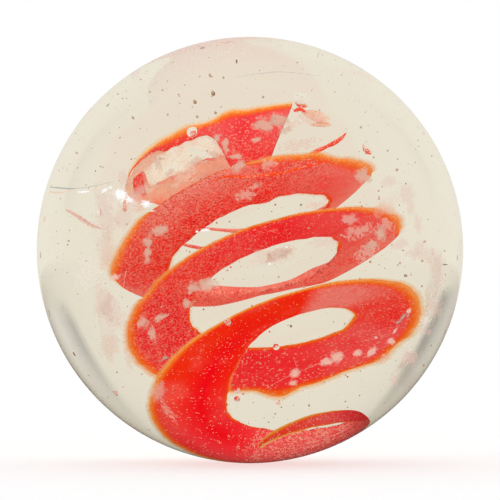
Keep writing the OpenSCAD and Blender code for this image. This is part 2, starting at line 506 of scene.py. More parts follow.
def redGlassMaterial(settings):
    # Striking red glass, pulled out thin: ruby where it lies thick, coral where the light comes through,
    # amber at its thin rims, with a haze of gas specks. The amber rims are partly the thin glass's own colour
    # and partly painted colour fringes of light split as it bends through the ball. It has the clear glass's
    # own index, so its faces don't shine. The real specks are about 0.02 mm across, and are drawn twice as
    # coarse so that they show.
    material = newMaterial("drawn selenium red glass")
    tree = material.node_tree
    place = addNode(tree, "TexCoord").outputs["Object"]
    painted = {name: addNode(tree, "Attribute", {"attribute_name": name})
               for name in ("tone", "specks", "amber", "dark", "glow")}
    thick = painted["specks"].outputs["Fac"]
    cloud, mottle = [
        addNode(tree, "TexNoise", {"Scale": 1 / settings[key], "Detail": detail}, {"Vector": place})
        for key, detail in (("cloudSize", 4.0), ("mottleSize", 2.0))
    ]

    deep = addNode(tree, "MapRange", {"From Min": 0.5, "From Max": 0.72, "To Max": 0.5}, {"Value": cloud})
    colour = addNode(tree, "Mix", {"data_type": "RGBA", "B": linear(settings["deep"])},
                     {"Factor": deep, "A": painted["tone"].outputs["Color"]}).outputs["Result"]
    thin = addNode(tree, "MapRange", {"From Min": 0.46, "From Max": 0.28, "To Max": 0.45}, {"Value": cloud})
    colour = addNode(tree, "Mix", {"data_type": "RGBA", "B": linear(settings["thin"])},
                     {"Factor": thin, "A": colour}).outputs["Result"]
    bySpecks, everywhere = settings["grainShare"]
    grainy = addNode(tree, "Math", {"operation": "MULTIPLY_ADD", 1: bySpecks, 2: everywhere}, {0: thick})
    grain = addNode(tree, "MapRange", {"From Min": 0.5, "From Max": 0.7}, {"Value": mottle})
    grain = addNode(tree, "Math", {"operation": "MULTIPLY"}, {0: grain, 1: grainy})
    colour = addNode(tree, "Mix", {"data_type": "RGBA", "B": linear(settings["grain"])},
                     {"Factor": grain, "A": colour}).outputs["Result"]

    # The amber rim: partly the thin glass's own colour, partly painted colour fringes of light.
    fringe = addNode(tree, "MapRange", {"From Min": 0.3, "From Max": 0.65, "To Min": 0.75, "To Max": 1.15},
                     {"Value": mottle})
    amber = addNode(tree, "Math", {"operation": "MULTIPLY"}, {0: painted["amber"].outputs["Fac"], 1: fringe})
    rim = addNode(tree, "ValToRGB", links={"Fac": amber})
    stops = rim.color_ramp.elements
    for share, hexColour in settings["rim"]:
        stop = stops[0] if share == 0 else stops[-1] if share == 1 else stops.new(share)
        stop.color = linear(hexColour)
    taken = addNode(tree, "MapRange", {"From Min": 0.0, "From Max": 0.5}, {"Value": amber})
    colour = addNode(tree, "Mix", {"data_type": "RGBA"},
                     {"Factor": taken, "A": colour, "B": rim}).outputs["Result"]
    line = addNode(tree, "Math", {"operation": "MULTIPLY", 1: 0.4}, {0: painted["dark"].outputs["Fac"]})
    colour = addNode(tree, "Mix", {"data_type": "RGBA", "B": linear(settings["line"])},
                     {"Factor": line, "A": colour}).outputs["Result"]

    # The specks stand in drifts, and thin out on the amber rim. Each has a radius of its own.
    drift = addNode(tree, "TexNoise", {"Scale": 1 / settings["patchSize"], "Detail": 3.0}, {"Vector": place})
    patchy = addNode(tree, "MapRange", {"From Min": 0.35, "From Max": 0.6, "To Min": 0.5, "To Max": 1.0},
                     {"Value": drift})
    wanted = addNode(tree, "Math", {"operation": "MULTIPLY"}, {0: thick, 1: patchy})
    bare = addNode(tree, "MapRange", {"From Min": 0.1, "From Max": 0.8, "To Min": 1.0, "To Max": 0.25},
                   {"Value": amber})
    wanted = addNode(tree, "Math", {"operation": "MULTIPLY"}, {0: wanted, 1: bare})
    for grid, radius, fill, strong in settings["specks"]:
        dots = addNode(tree, "TexVoronoi", {"Scale": 1 / grid}, {"Vector": place})
        chance = addNode(tree, "SeparateColor", links={0: dots.outputs["Color"]})
        full = addNode(tree, "Math", {"operation": "MULTIPLY", 1: fill}, {0: wanted})
        there = addNode(tree, "Math", {"operation": "LESS_THAN"}, {0: chance, 1: full})
        size = addNode(tree, "Math", {"operation": "MULTIPLY_ADD", 1: radius, 2: 0.5 * radius},
                       {0: chance.outputs["Green"]})
        inside = addNode(tree, "Math", {"operation": "SUBTRACT"}, {0: size, 1: dots.outputs["Distance"]})
        near = addNode(tree, "MapRange", {"From Min": 0.0, "From Max": 0.4 * radius, "To Max": strong},
                       {"Value": inside})
        spot = addNode(tree, "Math", {"operation": "MULTIPLY"}, {0: near, 1: there})
        colour = addNode(tree, "Mix", {"data_type": "RGBA", "B": linear(settings["speck"])},
                         {"Factor": spot, "A": colour}).outputs["Result"]

    front = addNode(tree, "BsdfPrincipled", {"Roughness": 0.5, "Specular IOR Level": 0.0},
                    {"Base Color": colour})
    through = addNode(tree, "BsdfTranslucent", links={"Color": colour})
    surface = addNode(tree, "MixShader", {0: 0.5}, {1: front, 2: through})
    # The thin tail lies against the skin, and is bright with the light that comes straight through it; here
    # that light is painted, as a glow of its own.
    clear = addNode(tree, "Emission", {"Strength": settings["paintedTailLight"]}, {"Color": colour})
    surface = addNode(tree, "MixShader", links={0: painted["glow"].outputs["Fac"], 1: surface, 2: clear})
    addNode(tree, "OutputMaterial", links={"Surface": surface})
    return material


fringeGlass = {"edge": "#F2D49A", "rim": "#FFAE48", "grainSize": 0.1 * mm, "grain": 0.12, "most": 0.95}


def fringeMaterial(settings):
    # The amber glow in the clear glass along the ribbon's rims: partly a little of its colour run out into
    # it, partly painted colour fringes of light split as it bends through the ball.
    material = newMaterial("amber fringe with painted colour fringes")
    tree = material.node_tree
    place = addNode(tree, "TexCoord").outputs["Object"]
    fringe = addNode(tree, "Attribute", {"attribute_name": "fringe"}).outputs["Fac"]
    grain = addNode(tree, "TexNoise", {"Scale": 1 / settings["grainSize"], "Detail": 3.0}, {"Vector": place})
    loose = addNode(tree, "MapRange", {"From Min": 0.3, "From Max": 0.7, "To Min": -settings["grain"],
                                       "To Max": settings["grain"]}, {"Value": grain})
    body = addNode(tree, "Math", {"operation": "ADD"}, {0: fringe, 1: loose})
    alpha = addNode(tree, "MapRange", {"From Min": 0.05, "From Max": 0.9, "To Max": settings["most"]},
                    {"Value": body})
    colour = addNode(tree, "Mix", {"data_type": "RGBA", "A": linear(settings["edge"]),
                                   "B": linear(settings["rim"])}, {"Factor": body})
    shader = addNode(tree, "BsdfPrincipled", {"Roughness": 0.6, "Specular IOR Level": 0.0},
                     {"Base Color": colour.outputs["Result"], "Alpha": alpha})
    addNode(tree, "OutputMaterial", links={"Surface": shader})
    return material


veilGlass = {
    "clear": "#FFF6EA",
    "flesh": "#EEC2AC",
    "redder": "#FF8A6C",
    "spots": "#FF664C",
    "cloudSize": 0.4 * mm,
    "spotSize": 0.07 * mm,
    "uneven": 0.22,
    "most": 0.92,  # how solid it gets
}


def veilMaterial(settings):
    # The same ribbon where hardly any red is left in it: a film like thin skin in the glass.
    material = newMaterial("pale veil glass")
    tree = material.node_tree
    place = addNode(tree, "TexCoord").outputs["Object"]
    flesh = addNode(tree, "Attribute", {"attribute_name": "flesh"}).outputs["Fac"]
    cloud, fine = [
        addNode(tree, "TexNoise", {"Scale": 1 / settings[key], "Detail": detail}, {"Vector": place})
        for key, detail in (("cloudSize", 4.0), ("spotSize", 3.0))
    ]
    uneven = addNode(tree, "MapRange", {"From Min": 0.3, "From Max": 0.7, "To Min": -settings["uneven"],
                                        "To Max": settings["uneven"]}, {"Value": cloud})
    body = addNode(tree, "Math", {"operation": "ADD"}, {0: flesh, 1: uneven})
    alpha = addNode(tree, "MapRange", {"From Min": 0.05, "From Max": 0.9, "To Max": settings["most"]},
                    {"Value": body})
    skin = addNode(tree, "MapRange", {"From Min": 0.2, "From Max": 0.55}, {"Value": body})
    colour = addNode(tree, "Mix", {"data_type": "RGBA", "A": linear(settings["clear"]),
                                   "B": linear(settings["flesh"])}, {"Factor": skin})
    redder = addNode(tree, "MapRange", {"From Min": 1.0, "From Max": 1.6}, {"Value": body})
    colour = addNode(tree, "Mix", {"data_type": "RGBA", "B": linear(settings["redder"])},
                     {"Factor": redder, "A": colour.outputs["Result"]})
    spots = addNode(tree, "MapRange", {"From Min": 0.54, "From Max": 0.64, "To Max": 0.4}, {"Value": fine})
    reddened = addNode(tree, "Math", {"operation": "MULTIPLY"}, {0: spots, 1: skin})
    colour = addNode(tree, "Mix", {"data_type": "RGBA", "B": linear(settings["spots"])},
                     {"Factor": reddened, "A": colour.outputs["Result"]})
    shader = addNode(tree, "BsdfPrincipled", {"Roughness": 0.6, "Specular IOR Level": 0.0},
                     {"Base Color": colour.outputs["Result"], "Alpha": alpha})
    addNode(tree, "OutputMaterial", links={"Surface": shader})
    return material


coilPlace = (Matrix.Translation((ribbonSettings["coilShift"], 0, 0))
             @ Matrix.Rotation(-math.radians(ribbonSettings["coilLean"]), 4, "Y")
             @ Matrix.Rotation(-math.radians(ribbonSettings["coilTip"]), 4, "X"))


def ribbonPoint(t, across, up=0.0):
    # A point of the ribbon: across from -1 to 1 over its width there, up in metres off its middle.
    settings = ribbonSettings
    reach, drop, width, tilt = curveAlong(winding, t)
    across *= width * settings["widest"] / 2
    tilt = math.radians(tilt)
    turn = math.pi / 2 * t
    r = reach * settings["coilReach"] + across * math.cos(tilt) - up * math.sin(tilt)
    z = settings["coilTop"] - drop * settings["coilHeight"] + across * math.sin(tilt) + up * math.cos(tilt)
    return coilPlace @ Vector((r * math.cos(turn), -r * math.sin(turn), z))


def edgeShift(t, side, ragged, settings):
    # How far an edge strays outwards, in metres: its own wander, and the notches and cusps.
    # The fixed numbers only give each edge a stretch of the noise of its own.
    lengthwise = t * settings["coilReach"] * math.pi / 2 / settings["wanderLength"]
    shorter, weaker = settings["fineWander"]
    shift = noise.noise(Vector((lengthwise, 7.3 * side, 0.5)))
    shift += weaker * noise.noise(Vector((lengthwise * shorter, 7.3 * side, 4.5)))
    shift *= ragged * side
    for place, edge, out, half in edgeDents:
        off = abs(t - place) / half
        if edge == side and off < 1:
            shift += side * out * mm * (1 - off * off) ** 2
    return shift


def rimAt(rimShare, side, settings):
    # How much amber one edge has there. The sign of the share says which edge has it all.
    return abs(rimShare) * (1 if side * rimShare > 0 else settings["innerAmber"])


def aslant(t, across, settings):
    # The quarter turn that a point moves to, because the cut end runs aslant.
    return t + settings["cutSlant"] * across * max(0, 1 - (t - settings["start"]) / settings["slantFade"])


def ribbonStretch(firstT, lastT, lowTable, highTable, settings, taper=0.0, thinned=1.0):
    # One closed stretch of the ribbon between two places across its width, with what is
    # painted on it. It widens out from a point over the first taper quarter turns.
    rings = max(settings["leastRings"], round((lastT - firstT) * settings["ringsPerQuarter"]))
    sides = settings["sectionSides"]
    point, bluntness = settings["taperShape"]
    coreMiddle, coreHalf = settings["coreAcross"]
    flushMiddle, flushMore = settings["flushAcross"]
    vertices = []
    paint = {"tone": [], "specks": [], "amber": [], "dark": [], "flesh": [], "glow": []}
    for i in range(rings + 1):
        t = firstT + i * (lastT - firstT) / rings
        low, high = stepAlong(lowTable, t)[0], stepAlong(highTable, t)[0]
        if taper and t < firstT + taper:
            share = ((t - firstT) / taper + point) ** bluntness
            middle, half = (low + high) / 2, (high - low) / 2 * share
            low, high = middle - half, middle + half
        width = curveAlong(winding, t)[2] * settings["widest"]
        fold = stepAlong(thickening, t)[0]
        thickness = min(settings["thickness"] * fold * thinned, width * (high - low) / 4)
        *tone, specks, outwards, rimShare = stepAlong(reds, t)
        for k in range(sides):
            angle = 2 * math.pi * k / sides
            side = 1 if math.cos(angle) > 0 else -1
            across = (low + high) / 2 + math.cos(angle) * (high - low) / 2
            ownEdge = abs(high if side > 0 else low) == 1
            ragged = settings["edgeWander"] * (1 if ownEdge else settings["innerWander"])
            across += edgeShift(t, side, ragged, settings) / (width / 2) * abs(math.cos(angle)) ** 3
            up = math.sin(angle) * thickness / 2
            vertices.append(ribbonPoint(aslant(t, across, settings), across, up))
            gap = (1 - abs(math.cos(angle))) * width * (high - low) / 4
            rim = rimAt(rimShare, side, settings)
            reach = settings["amberEdge"] * rim + 1e-9  # never nought, because it divides
            core = stepAlong(settings["core"], t)[0] * max(0, 1 - abs(across - coreMiddle) / coreHalf)
            worn = stepAlong(settings["flush"], t)[0] * max(0, flushMiddle + flushMore * across)
            paint["tone"].append([own + (deep - own) * core + (pale - own) * worn
                                  for own, deep, pale in zip(tone, ruby, mist)] + [1.0])
            paint["specks"].append(specks * (1 + outwards * across))
            # Amber on the own edge: partly the thin glass's colour, partly painted colour fringes of light.
            onset = min(1, settings["amberOnset"] * rim)
            paint["amber"].append(max(0, 1 - gap / reach) * onset if ownEdge else 0.0)
            bare = max(0, 1 - settings["darkOnset"] * rim) * max(0, 2 - fold)
            paint["dark"].append(max(0, 1 - gap / settings["darkEdge"]) * bare if ownEdge else 0.0)
            paint["flesh"].append(fleshAt(t, across))
            # Painted light: the tail's glow.
            paint["glow"].append(stepAlong(settings["paintedTailGlow"], t)[0])
    return vertices, tubeFaces(rings, sides), paint


def fringeStrip(firstT, lastT, side, settings):
    # The glow beyond one rim, partly painted colour fringes of light: a strip in the ribbon's own plane that
    # fades outwards.
    rings, steps = round((lastT - firstT) * settings["ringsPerQuarter"]), settings["fringeSteps"]
    least = settings["fringeLeast"]
    vertices, fringe = [], []
    for i in range(rings + 1):
        t = firstT + i * (lastT - firstT) / rings
        width = curveAlong(winding, t)[2] * settings["widest"]
        rim = rimAt(stepAlong(reds, t)[5], side, settings)
        reach = settings["fringeWidth"] * (least + (1 - least) * rim)
        stray = edgeShift(t, side, settings["edgeWander"], settings)
        for k in range(steps + 1):
            out = (k / steps - settings["fringeOverlap"]) * reach / (width / 2)
            across = side * (1 + out) + stray / (width / 2)
            vertices.append(ribbonPoint(aslant(t, across, settings), across))
            fringe.append(min(1, settings["fringeOnset"] * rim) * (1 - k / steps))
    faces = []
    for i in range(rings):
        for k in range(steps):
            a, b = i * (steps + 1) + k, (i + 1) * (steps + 1) + k
            faces.append((a, b, b + 1, a + 1))
    return vertices, faces, {"fringe": fringe}


# The veil: how far out it goes and how far it runs under the red, how thin it is beside the
# ribbon, how strong its flesh-coloured part, its clearer part and the flesh colour along
# the rim are, how soft their borders are, and past which place it gets how much redder.
veilSettings = {
    "start": 1.05,
    "end": 2.14,
    "outTo": 2.2,
    "under": 0.15,
    "thinned": 0.5,
    "flesh": 0.8,
    "clear": 0.25,
    "rimFlesh": 0.8,
    "soft": 0.12,
    "redder": (1.1, 0.6),
    "wispFlesh": 0.50,
}
# Where along the ribbon the flesh-coloured part begins across it.
fleshLine = [(1.08, 0.40), (1.23, 0.42), (1.40, 0.70), (1.63, 1.00), (1.80, 0.50), (2.14, -0.60)]
# Next to the rim there is flesh colour again, up to this far across.
rimFlesh = [(1.38, -1.20), (1.46, -0.50), (1.60, -0.20), (1.75, 0.00), (1.90, 1.00)]
# Slivers of red in the veil: a torn piece between two quarter turns and two places across,
# and fine lines along the start of the flesh colour, this far to each side of it.
slivers = {
    "torn": (1.69, 1.78, -0.2, 1.7),
    "lines": ((1.10, 1.30), (1.44, 1.60)),
    "half": 0.035,
    "taper": 0.05,
}


def fleshAt(t, across):
    veil = veilSettings
    redderFrom, redderBy = veil["redder"]
    outer = min(1, max(0, (across - stepAlong(fleshLine, t)[0]) / veil["soft"] + 0.5))
    inner = min(1, max(0, (stepAlong(rimFlesh, t)[0] - across) / veil["soft"] + 0.5))
    flesh = veil["clear"] + (veil["flesh"] - veil["clear"]) * max(outer, veil["rimFlesh"] * inner)
    return flesh + redderBy * min(1, max(0, across - redderFrom))


# Loose threads of red in the clear glass: the points in mm with the thread's radius, then
# its tone, its specks and its amber.
threads = [
    {"points": [(1.50, -1.40, 2.52, 0.02), (1.79, -1.50, 2.71, 0.06), (2.08, -1.50, 2.86, 0.055),
                (2.38, -1.50, 3.02, 0.07), (2.60, -1.50, 3.18, 0.05), (2.74, -1.50, 3.34, 0.015)],
     "tone": "scarlet", "specks": 0.9, "amber": 0.2},
    {"points": [(2.40, -2.30, 2.63, 0.01), (1.89, -2.60, 2.52, 0.03), (1.42, -2.80, 2.39, 0.035),
                (0.90, -2.95, 2.26, 0.045), (0.37, -3.05, 2.20, 0.05), (-0.16, -3.10, 2.15, 0.045),
                (-0.72, -3.10, 2.17, 0.03), (-1.19, -3.00, 2.00, 0.01)],
     "tone": "flame", "specks": 0.6, "amber": 0.35},
    {"points": [(-1.80, 1.00, 0.20, 0.01), (-1.40, 1.10, 0.09, 0.035), (-0.90, 1.25, 0.04, 0.03),
                (-0.35, 1.50, 0.20, 0.02)],
     "tone": "blush", "specks": 0.5, "amber": 0.0},
    {"points": [(1.28, -1.90, 4.02, 0.02), (1.40, -1.85, 4.10, 0.05), (1.56, -1.80, 4.03, 0.05),
                (1.62, -1.80, 3.93, 0.015)],
     "tone": "crimson", "specks": 0.2, "amber": 0.3},
]
# Two flat wisps of the veil past the cut end, in the same numbers.
wisps = [
    [(1.50, -1.80, 4.00, 0.06), (1.80, -1.80, 3.92, 0.16), (2.10, -1.80, 3.82, 0.20),
     (2.30, -1.80, 3.74, 0.10)],
    [(1.75, -1.80, 3.60, 0.03), (2.10, -1.80, 3.62, 0.08), (2.36, -1.80, 3.64, 0.03)],
]
threadSettings = {
    "stepsPerPoint": 14,
    "sides": 12,
    "leastRadius": 0.004,  # in mm
    "wander": 0.25,  # how much a thread swells and thins, as a share of its radius
    "wanderCount": 2.3,  # how many times it does so from one point to the next
    "lookAhead": 0.05,
    "wispFlatness": 0.3,
}


def threadStretch(points, tone, specks, amber, flatness=1.0, flesh=0.0):
    # A tapering thread through the points, with what is painted on it.
    settings, last = threadSettings, len(points) - 1
    steps, sides = settings["stepsPerPoint"] * last, settings["sides"]
    vertices = []
    for i in range(steps + 1):
        t = i * last / steps
        *centre, radius = curveAlong(points, t)
        *ahead, _ = curveAlong(points, min(t + settings["lookAhead"], last))
        *behind, _ = curveAlong(points, max(t - settings["lookAhead"], 0))
        along = (Vector(ahead) - Vector(behind)).normalized()
        across = along.cross(Vector((0, 1, 0))).normalized()
        up = across.cross(along)
        swell = noise.noise(Vector((t * settings["wanderCount"], centre[0], 1.5)))
        radius = max(radius, settings["leastRadius"]) * (1 + settings["wander"] * swell)
        for k in range(sides):
            angle = 2 * math.pi * k / sides
            off = across * math.cos(angle) + up * math.sin(angle) * flatness
            vertices.append((Vector(centre) + off * radius) * mm)
    paint = {"tone": linear(tones[tone]), "specks": specks, "amber": amber, "dark": 0.0, "flesh": flesh,
             "glow": 0.0}
    return vertices, tubeFaces(steps, sides), {key: [value] * len(vertices) for key, value in paint.items()}


def buildRibbon(settings):
    veil, redEnd = veilSettings, redReach[-1][0]
    innerEdge = [(0, -1.0)]
    tornStart, tornEnd, tornLow, tornHigh = slivers["torn"]
    lineLow = [(t, across - slivers["half"]) for t, across in fleshLine]
    lineHigh = [(t, across + slivers["half"]) for t, across in fleshLine]
    stretches = [
        ribbonStretch(settings["start"], redEnd, innerEdge, redReach, settings),
        ribbonStretch(settings["redReturn"], settings["end"], innerEdge, redReturnReach, settings,
                      taper=settings["returnTaper"]),
        ribbonStretch(tornStart, tornEnd, [(0, tornLow)], [(0, tornHigh)], settings),
    ]
    for firstT, lastT in slivers["lines"]:
        stretches.append(ribbonStretch(firstT, lastT, lineLow, lineHigh, settings, taper=slivers["taper"]))
    stretches += [threadStretch(**thread) for thread in threads]
    red = paintedPiece("red_ribbon_glass", stretches, redGlassMaterial(redGlass))
    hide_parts("red_ribbon")

    veilLow = [(t, across - veil["under"]) for t, across in redReach]
    films = [ribbonStretch(veil["start"], veil["end"], veilLow, [(0, veil["outTo"])], settings,
                           thinned=veil["thinned"])]
    films += [threadStretch(points, "coral", 0.0, 0.0, threadSettings["wispFlatness"], veil["wispFlesh"])
              for points in wisps]
    paintedPiece("pale_ribbon_veil", films, veilMaterial(veilGlass))
    fringes = [fringeStrip(settings["start"], redEnd, -1, settings)]
    fringes += [fringeStrip(*settings["fringeSpan"], side, settings) for side in (1, -1)]
    paintedPiece("amber_fringe", fringes, fringeMaterial(fringeGlass))
    return red


ribbon = buildRibbon(ribbonSettings)
print("ribbon built,", len(ribbon.data.polygons), "faces")

# Clear glass
ballSettings = {
    "around": 400,
    "upDown": 200,
    "index": 1.5,
    "strawTint": "#F5EDDB",
    "tintDensity": 60.0,
    "bloomGrain": 0.45 * mm,
    "bloomRoughness": 0.3,
    "bloomReach": 1.35,  # how far out a bloom fades away, in its own half lengths
}


# Bloomed skin, seen from the front: across and up in mm from the middle, half length and
# half breadth in mm, the turn in degrees, and how strong it is.
bloomPlaces = [
    (-5.3, 0.6, 1.9, 0.55, 90, 1.0),
    (-5.2, -3.0, 1.6, 0.5, 95, 0.8),
    (5.1, 1.7, 1.2, 0.5, 40, 0.8),
    (6.7, -1.3, 1.6, 0.35, 80, 1.0),
    (5.7, -4.1, 0.9, 0.4, 60, 0.8),
    (1.1, -0.1, 0.9, 0.3, 5, 0.8),
    (-4.1, 1.7, 0.5, 0.6, 0, 0.9),
]


def clearGlassMaterial(settings):
    # Old soda-lime glass, rounded hot and long played with: fully clear, with a faint straw
    # tint in its depth, and bloomed where the skin is rubbed dull.
    material = newMaterial("polished soda-lime glass")
    tree = material.node_tree
    place = addNode(tree, "TexCoord").outputs["Object"]
    bloom = addNode(tree, "Attribute", {"attribute_name": "bloom"}).outputs["Fac"]
    grain = addNode(tree, "TexNoise", {"Scale": 1 / settings["bloomGrain"], "Detail": 6.0, "Roughness": 0.65},
                    {"Vector": place})
    broken = addNode(tree, "Math", {"operation": "ADD"}, {0: bloom, 1: grain})
    rough = addNode(tree, "MapRange", {"From Min": 0.95, "From Max": 1.25,
                                       "To Max": settings["bloomRoughness"]}, {"Value": broken})
    shader = addNode(tree, "BsdfPrincipled", {"Base Color": (1, 1, 1, 1), "IOR": settings["index"],
                                              "Transmission Weight": 1.0}, {"Roughness": rough})
    absorb = addNode(tree, "VolumeAbsorption", {"Color": linear(settings["strawTint"]),
                                                "Density": settings["tintDensity"]})
    addNode(tree, "OutputMaterial", links={"Surface": shader, "Volume": absorb})
    return material


def bloomAt(point, settings):
    # How far the skin is bloomed at a point of it.
    most = 0.0
    if point.y < 0:
        for x, z, length, breadth, turn, strength in bloomPlaces:
            dx, dz = point.x - x * mm, point.z - z * mm
            c, s = math.cos(math.radians(turn)), math.sin(math.radians(turn))
            off = math.hypot((dx * c + dz * s) / (length * mm), (dz * c - dx * s) / (breadth * mm))
            most = max(most, strength * min(1, max(0, settings["bloomReach"] - off)))
    return most


def buildBall(settings):
    grid = bmesh.new()
    bmesh.ops.create_uvsphere(grid, u_segments=settings["around"], v_segments=settings["upDown"],
                              radius=ballRadius)
    ball = glassPiece("clear_glass_ball", grid, clearGlassMaterial(settings))
    points = [v.co for v in ball.data.vertices]
    ball.data.normals_split_custom_set_from_vertices([point.normalized() for point in points])
    bloom = [bloomAt(point, settings) for point in points]
    ball.data.attributes.new("bloom", "FLOAT", "POINT").data.foreach_set("value", bloom)
    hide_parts("clear_glass")
    return ball


ball = buildBall(ballSettings)
print("ball built,", len(ball.data.polygons), "faces")

# Air in the glass
bubbleSettings = {
    "largest": 0.5 * mm,  # across
    "seedCount": 1000,
    "seedLeast": 0.008 * mm,  # the seeds' radii
    "seedMost": 0.033 * mm,
    "seedSpread": 0.95,  # how far out they go, as a share of the ball's radius
    "seedGap": 0.2 * mm,  # how far off the ribbon they stay
    "seed": 5,
}

# The centre as shares of the ball's radius, and the size as a share of the largest.
bubblePlaces = [
    (0.18, -0.12, 0.52, 1.0),
    (0.44, -0.25, 0.38, 0.9),
    (-0.22, -0.38, 0.45, 0.7),
    (0.15, 0.00, 0.46, 0.5),
    (-0.09, -0.62, -0.29, 0.45),
    (0.10, -0.44, -0.37, 0.4),
    (-0.05, -0.38, -0.54, 0.4),
    (-0.05, -0.38, -0.58, 0.4),
    (-0.47, 0.00, -0.50, 0.35),
]


def airMaterial(name, tint):
    # Air inside glass: light bends the other way than at the ball's own skin, and comes
    # back whole off a bubble's flanks, which gives each one its bright and dark rings.
    material = newMaterial(name)
    tree = material.node_tree
    shader = addNode(tree, "BsdfGlass", {"Color": linear(tint), "Roughness": 0.0,
                                         "IOR": 1 / ballSettings["index"]})
    addNode(tree, "OutputMaterial", links={"Surface": shader})
    return material


def buildBubbles(name, spots, subdivisions, material):
    grid = bmesh.new()
    for centre, radius in spots:
        bmesh.ops.create_icosphere(grid, subdivisions=subdivisions, radius=radius,
                                   matrix=Matrix.Translation(centre))
    glassPiece(name, grid, material)


def seedSpots(settings):
    # Fine seeds all through the clear glass, kept off the ribbon.
    chance = random.Random(settings["seed"])
    nearby = kdtree.KDTree(len(ribbon.data.vertices))
    for vertex in ribbon.data.vertices:
        nearby.insert(vertex.co, vertex.index)
    nearby.balance()
    spots = []
    while len(spots) < settings["seedCount"]:
        spot = Vector([chance.uniform(-1, 1) for axis in range(3)])
        radius = settings["seedLeast"] + (settings["seedMost"] - settings["seedLeast"]) * chance.random() ** 2
        if spot.length < settings["seedSpread"] and nearby.find(spot * ballRadius)[2] > settings["seedGap"]:
            spots.append((spot * ballRadius, radius))
    return spots


largeSpots = [(Vector(centre) * ballRadius, size * bubbleSettings["largest"] / 2)
              for *centre, size in bubblePlaces]
buildBubbles("air_bubbles", largeSpots, 4, airMaterial("trapped air", "#FFFFFF"))
buildBubbles("fine_seeds", seedSpots(bubbleSettings), 2, airMaterial("fine seed air", "#E8DCD0"))
print("bubbles and seeds built")

# Wear on the skin
skinSettings = {
    "lift": 0.004 * mm,
    "rimPoints": 36,
    "rings": 5,
    "overlap": 1.25,  # patches are drawn this much larger, because their rims fade out
    "rimWaves": (1.6, 4),  # how fine the coarse and the fine wander of a rim are
    "fineShare": 0.6,  # how strong the fine one is
    "leastReach": 0.15,
    "hairWidth": 0.03 * mm,
    "hairSteps": 10,  # from one point to the next
    "hairLook": 0.01,
    "hairTaper": (0.06, 0.6),  # the share of it cut off at each end, and how blunt it is
    "hairBody": 0.75,
    "seed": 11,
}


# All spots are given as the front shows them: across and up in mm from the middle, length
# and breadth in mm, and the turn in degrees. First, crisp chips.
chips = [
    (2.78, -4.02, 0.52, 0.34, 15), (3.14, -3.88, 0.56, 0.42, 15), (1.63, -4.44, 0.42, 0.34, 30),
    (1.55, -4.80, 0.34, 0.22, 10), (3.88, -3.73, 0.34, 0.30, 0), (4.41, -3.69, 0.46, 0.28, 50),
    (5.12, -3.32, 0.32, 0.26, 0), (4.56, -3.17, 0.12, 0.10, 0), (1.03, -5.55, 0.20, 0.17, 0),
    (-4.89, -0.99, 0.46, 0.22, 20), (5.78, -2.22, 0.24, 0.20, 60), (5.25, -2.95, 0.30, 0.10, 50),
]
# Beige flakes, where a film of the skin has lifted.
flakes = [
    (0.50, 4.56, 0.90, 0.50, 5), (1.05, 4.70, 0.80, 0.46, -8), (1.25, 4.30, 0.50, 0.30, 20),
    (-0.88, 3.75, 0.26, 0.70, 10), (-0.40, 3.00, 0.60, 0.40, 30), (-3.20, 0.72, 0.80, 0.40, 20),
    (-3.66, 0.30, 0.50, 0.34, 60), (-3.68, -0.10, 0.26, 0.80, -8), (-3.88, -2.62, 0.50, 0.42, 10),
    (-3.52, -3.02, 0.26, 0.60, 10), (-3.24, -2.44, 0.62, 0.24, 25), (-1.50, -1.20, 0.90, 0.46, 10),
    (-2.05, -1.36, 0.50, 0.40, 60), (1.10, -0.10, 1.00, 0.40, 12), (-2.25, -1.92, 0.36, 0.38, 0),
    (4.70, 0.60, 0.42, 0.62, 10),
    (4.40, 0.20, 0.60, 0.30, 20), (4.05, 2.68, 0.72, 0.58, 0), (0.72, -0.34, 0.36, 0.26, 0),
    (-1.22, 4.00, 0.46, 0.26, 50), (-1.30, 3.42, 0.52, 0.26, -20), (-1.95, 3.20, 0.60, 0.24, 25),
    (-0.50, 3.36, 0.44, 0.24, 10), (0.20, 3.95, 0.42, 0.20, 15), (-2.90, 2.75, 0.50, 0.24, 30),
    (-3.30, 3.10, 0.30, 0.44, 10),
]
# Fainter rubs over the ribbon.
rubs = [
    (-2.40, 2.60, 1.00, 0.50, 15), (2.10, 4.70, 0.90, 0.34, -14), (1.40, 4.50, 0.70, 0.34, 10),
    (1.75, 3.80, 1.40, 0.40, 12),
    (0.20, 2.30, 0.50, 0.26, 20), (-0.17, 1.95, 0.60, 0.36, 10), (3.90, 0.70, 1.20, 0.50, 10),
    (4.20, -0.10, 0.90, 0.50, 30), (4.90, 0.90, 0.60, 0.50, 0), (2.40, 1.60, 0.80, 0.20, 12),
    (-3.00, -5.90, 0.90, 0.26, -50), (0.60, 3.10, 0.60, 0.40, 0), (4.90, -3.90, 0.80, 0.26, 40),
]
# The large pale blooms on the clear glass at both sides.
blooms = [
    (-5.20, 1.40, 0.90, 1.70, 0), (-4.60, 1.20, 0.80, 0.90, 20), (-5.20, 0.10, 0.50, 1.30, 8),
    (-5.35, -1.90, 0.70, 1.70, 2), (-4.90, -2.30, 1.00, 1.30, 0), (-4.42, -4.00, 0.34, 0.90, 10),
    (-5.10, -3.50, 0.70, 1.00, 10), (-4.60, 2.60, 0.40, 0.70, 0), (-3.90, 2.15, 0.80, 0.50, 20),
    (5.05, 2.45, 0.70, 0.46, 20), (5.75, 1.95, 0.60, 1.20, 10), (6.10, 0.90, 0.40, 0.60, 0),
    (6.10, -0.10, 0.90, 0.70, 20), (6.90, -0.80, 0.56, 1.50, 5), (5.40, 0.20, 0.60, 0.40, 20),
    (6.75, -2.20, 0.62, 1.00, -12), (6.35, -2.95, 0.70, 0.60, 40), (5.83, -3.96, 0.60, 0.76, 20),
    (5.30, -4.80, 0.36, 0.50, 20), (0.80, -0.30, 1.40, 0.50, 8), (1.30, 0.00, 0.60, 0.40, 15),
    (2.60, 0.26, 0.90, 0.40, 12), (3.60, 1.10, 0.60, 0.40, 0), (-3.30, -5.20, 0.60, 0.70, 0),
]
